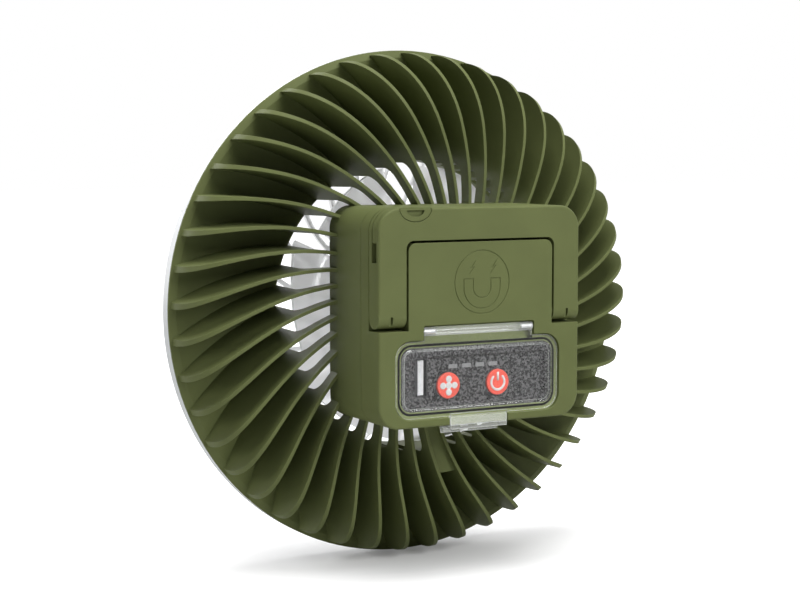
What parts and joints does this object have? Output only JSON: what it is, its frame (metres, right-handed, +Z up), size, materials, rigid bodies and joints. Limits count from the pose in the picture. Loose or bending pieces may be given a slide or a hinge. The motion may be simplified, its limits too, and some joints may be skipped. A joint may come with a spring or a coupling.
{
  "type": "portable camping fan",
  "caption": "Round portable camping fan with a light ring, curved rear fins, a battery box with a covered control panel, a folding carry handle and a hanging hook.",
  "frame": {"origin": "on the surface directly under the rim's lowest point, half way between the front of the light ring and the back of the box", "axes": "+Z up, the air outlet and light face -Y, the controls and handle face +Y, +X to the left of someone who looks at the controls"},
  "size_m": [0.2, 0.0696, 0.2],
  "materials": {
    "olive_plastic": "satin",
    "white_plastic": "satin",
    "translucent_white": "satin",
    "clear_plastic": "clear",
    "dark_panel": "fine grain",
    "red_buttons": "satin",
    "light_windows": "satin",
    "dim_windows": "satin",
    "dark_metal": "black plating",
    "steel": "plain",
    "magnet_metal": "plated",
    "circuit_green": "solder mask",
    "black_plastic": "plain",
    "battery_wrap": "shrink wrap",
    "copper": "enamelled wire",
    "bronze": "sintered",
    "seal_rubber": "plain"
  },
  "bodies": {
    "housing": {"rear_housing": "olive_plastic", "rear_cover": "olive_plastic", "diffuser_ring": "translucent_white", "led_board": "circuit_green", "led_chips": "light_windows", "led_lead": "black_plastic", "front_guard": "white_plastic", "body_screws": "steel", "battery_cells": "battery_wrap", "battery_tray": "black_plastic", "circuit_board": "circuit_green", "board_screws": "steel", "button_switches": "black_plastic", "control_panel": "dark_panel", "battery_lights": "dim_windows", "usb_port_shell": "dark_metal", "usb_port_tongue": "light_windows", "magnets": "magnet_metal", "magnet_plate": "steel", "handle_pins": "steel", "cover_hinge_pins": "steel", "cover_gasket": "seal_rubber", "motor_base": "black_plastic", "motor_bearings": "bronze", "stator_core": "steel", "stator_windings": "copper", "motor_screws": "steel"},
    "handle": {"carry_handle": "olive_plastic", "hook_cap": "olive_plastic", "hook_pin": "steel"},
    "hook": {"hanging_hook": "olive_plastic"},
    "cover": {"clear_cover": "clear_plastic"},
    "rotor": {"impeller": "white_plastic", "rotor_cup": "steel", "rotor_magnet": "magnet_metal", "motor_shaft": "steel"},
    "fan_button": {"fan_button": "red_buttons"},
    "power_button": {"power_button": "red_buttons"}
  },
  "joints": [
    {"name": "handle_hinge", "type": "hinge", "parent": "housing", "child": "handle", "pos_m": [0, 0.031, 0.1004], "axis": [-1, 0, 0], "range_deg": [0, 90]},
    {"name": "hook_hinge", "type": "hinge", "parent": "handle", "child": "hook", "pos_m": [0.0279, 0.0313, 0.1371], "axis": [0, -1, 0], "range_deg": [0, 90]},
    {"name": "cover_hinge", "type": "hinge", "parent": "housing", "child": "cover", "pos_m": [0, 0.0332, 0.095], "axis": [1, 0, 0], "range_deg": [0, 85]},
    {"name": "fan_spin", "type": "hinge", "parent": "housing", "child": "rotor", "pos_m": [0, -0.0263, 0.1], "axis": [0, 1, 0], "continuous": true},
    {"name": "fan_button_press", "type": "slide", "parent": "housing", "child": "fan_button", "axis": [0, -1, 0], "range_m": [0, 0.0006], "stiffness_N_per_m": 400},
    {"name": "power_button_press", "type": "slide", "parent": "housing", "child": "power_button", "axis": [0, -1, 0], "range_m": [0, 0.0006], "stiffness_N_per_m": 400}
  ]
}
